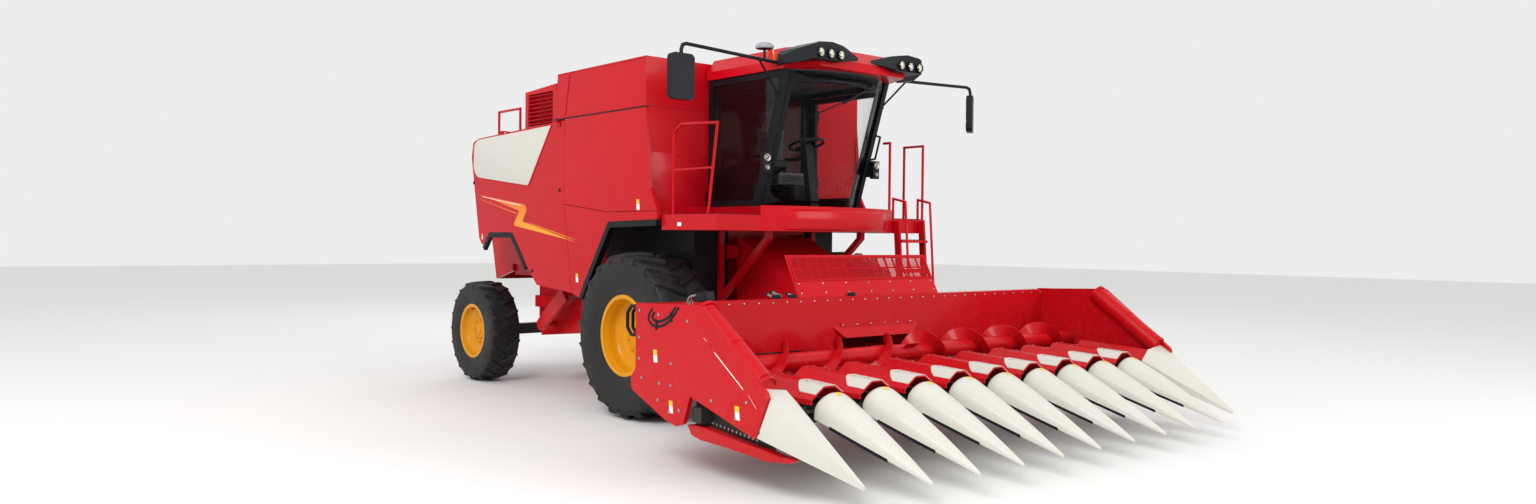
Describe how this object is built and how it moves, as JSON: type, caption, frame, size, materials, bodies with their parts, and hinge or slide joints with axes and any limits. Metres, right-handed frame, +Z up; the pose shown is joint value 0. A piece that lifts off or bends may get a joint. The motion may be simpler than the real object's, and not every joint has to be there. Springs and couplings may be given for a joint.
{
  "type": "combine harvester with a maize header",
  "caption": "Self-propelled combine harvester with a wide maize header: lifting feeder and header, steered rear wheels, folding unloading auger, opening shields and cab door.",
  "frame": {"origin": "on the ground, at the middle of the whole machine seen from above", "axes": "+Z up, +Y towards the rear of the machine, +X towards its left side"},
  "size_m": [5.84, 9.9085, 3.9258],
  "materials": {
    "red_enamel": "glossy",
    "black_trim": "satin",
    "pale_enamel": "glossy",
    "dark_iron": "satin",
    "bright_steel": "polished",
    "tyre_rubber": "matte",
    "yellow_enamel": "glossy",
    "tinted_glass": "clear",
    "seat_fabric": "woven",
    "lamp_lens": "clear",
    "amber_lens": "clear",
    "red_lens": "clear"
  },
  "bodies": {
    "machine": {"chassis_frame": "red_enamel", "front_axle": "dark_iron", "rear_axle": "dark_iron", "hull": "red_enamel", "side_panels": "red_enamel", "arch_trims": "black_trim", "grain_tank": "red_enamel", "tank_extension": "red_enamel", "engine_housing": "red_enamel", "engine_block": "dark_iron", "rear_hood": "red_enamel", "unloader_seat": "red_enamel", "cab_frame": "black_trim", "cab_glass": "tinted_glass", "windscreen": "tinted_glass", "cab_base": "red_enamel", "cab_roof": "red_enamel", "roof_visor": "black_trim", "roof_lamps": "lamp_lens", "mirrors": "black_trim", "seat": "seat_fabric", "steering_column": "black_trim", "console": "black_trim", "platform_right": "red_enamel", "platform_left": "red_enamel", "ladder": "red_enamel", "tow_hitch": "dark_iron", "pillar_lamps": "lamp_lens", "beacon": "amber_lens", "tail_lamps": "red_lens"},
    "shield_right": {"shield_right": "red_enamel", "pale_panel_right": "pale_enamel"},
    "shield_left": {"shield_left": "red_enamel", "pale_panel_left": "pale_enamel"},
    "cab_door": {"door_frame": "black_trim", "door_glass": "tinted_glass"},
    "unloader": {"unloading_auger": "red_enamel"},
    "front_wheel_right": {"tyre_front_right": "tyre_rubber", "rim_front_right": "yellow_enamel"},
    "front_wheel_left": {"tyre_front_left": "tyre_rubber", "rim_front_left": "yellow_enamel"},
    "steering_right": {"knuckle_right": "dark_iron"},
    "steering_left": {"knuckle_left": "dark_iron"},
    "tie_rod": {"tie_rod": "dark_iron"},
    "rear_wheel_right": {"tyre_rear_right": "tyre_rubber", "rim_rear_right": "yellow_enamel"},
    "rear_wheel_left": {"tyre_rear_left": "tyre_rubber", "rim_rear_left": "yellow_enamel"},
    "header": {"feeder_house": "red_enamel", "header_frame": "red_enamel", "side_sheets": "red_enamel", "row_hoods": "red_enamel", "snouts": "pale_enamel", "row_units": "dark_iron", "deck_plates": "dark_iron", "guard_screen": "red_enamel", "header_pipes": "black_trim"},
    "cross_auger": {"cross_auger": "red_enamel"},
    "lift_barrels": {"lift_barrels": "dark_iron"},
    "lift_rods": {"lift_rods": "bright_steel"}
  },
  "joints": [
    {"name": "front_wheel_right_spin", "type": "hinge", "parent": "machine", "child": "front_wheel_right", "pos_m": [-1.49, -0.29, 0.9], "axis": [1, 0, 0], "continuous": true},
    {"name": "steer_right", "type": "hinge", "parent": "machine", "child": "steering_right", "pos_m": [-1.18, 3.53, 0.67], "axis": [0, 0, 1], "range_deg": [-35, 35]},
    {"name": "rear_wheel_right_spin", "type": "hinge", "parent": "steering_right", "child": "rear_wheel_right", "pos_m": [-1.48, 3.53, 0.67], "axis": [1, 0, 0], "continuous": true},
    {"name": "shield_right_lift", "type": "hinge", "parent": "machine", "child": "shield_right", "pos_m": [-1.602, 2.41, 3.275], "axis": [0, 1, 0], "range_deg": [0, 75]},
    {"name": "front_wheel_left_spin", "type": "hinge", "parent": "machine", "child": "front_wheel_left", "pos_m": [1.49, -0.29, 0.9], "axis": [1, 0, 0], "continuous": true},
    {"name": "steer_left", "type": "hinge", "parent": "machine", "child": "steering_left", "pos_m": [1.18, 3.53, 0.67], "axis": [0, 0, 1], "range_deg": [-35, 35]},
    {"name": "rear_wheel_left_spin", "type": "hinge", "parent": "steering_left", "child": "rear_wheel_left", "pos_m": [1.48, 3.53, 0.67], "axis": [1, 0, 0], "continuous": true},
    {"name": "shield_left_lift", "type": "hinge", "parent": "machine", "child": "shield_left", "pos_m": [1.602, 2.41, 3.275], "axis": [0, -1, 0], "range_deg": [0, 75]},
    {"name": "tie_rod_turn", "type": "hinge", "parent": "steering_left", "child": "tie_rod", "pos_m": [1.18, 3.78, 0.558], "axis": [0, 0, 1], "range_deg": [-35, 35]},
    {"name": "header_lift", "type": "hinge", "parent": "machine", "child": "header", "pos_m": [0, -0.71, 1.8], "axis": [-1, 0, 0], "range_deg": [-2.5, 16]},
    {"name": "cross_auger_spin", "type": "hinge", "parent": "header", "child": "cross_auger", "pos_m": [0, -2.69, 0.83], "axis": [1, 0, 0], "continuous": true},
    {"name": "lift_barrel_tilt", "type": "hinge", "parent": "machine", "child": "lift_barrels", "pos_m": [0, -0.47, 0.7], "axis": [-1, 0, 0], "range_deg": [-2.2, 12.4]},
    {"name": "lift_rod_slide", "type": "slide", "parent": "lift_barrels", "child": "lift_rods", "axis": [0, -1, 0], "range_m": [-0.05, 0.301]},
    {"name": "unloader_swing", "type": "hinge", "parent": "machine", "child": "unloader", "pos_m": [1.25, 1.7, 3.31], "axis": [0, 0, -1], "range_deg": [0, 95]},
    {"name": "cab_door_swing", "type": "hinge", "parent": "machine", "child": "cab_door", "pos_m": [0.786, -0.522, 2.6], "axis": [0, 0, 1], "range_deg": [0, 80]}
  ],
  "couplings": [
    {"joint": "steer_right", "follows": "steer_left", "ratio": 1},
    {"joint": "tie_rod_turn", "follows": "steer_left", "ratio": -1},
    {"joint": "lift_barrel_tilt", "follows": "header_lift", "ratio": 0.7687},
    {"joint": "lift_rod_slide", "follows": "header_lift", "m_per_rad": 1.0708}
  ]
}
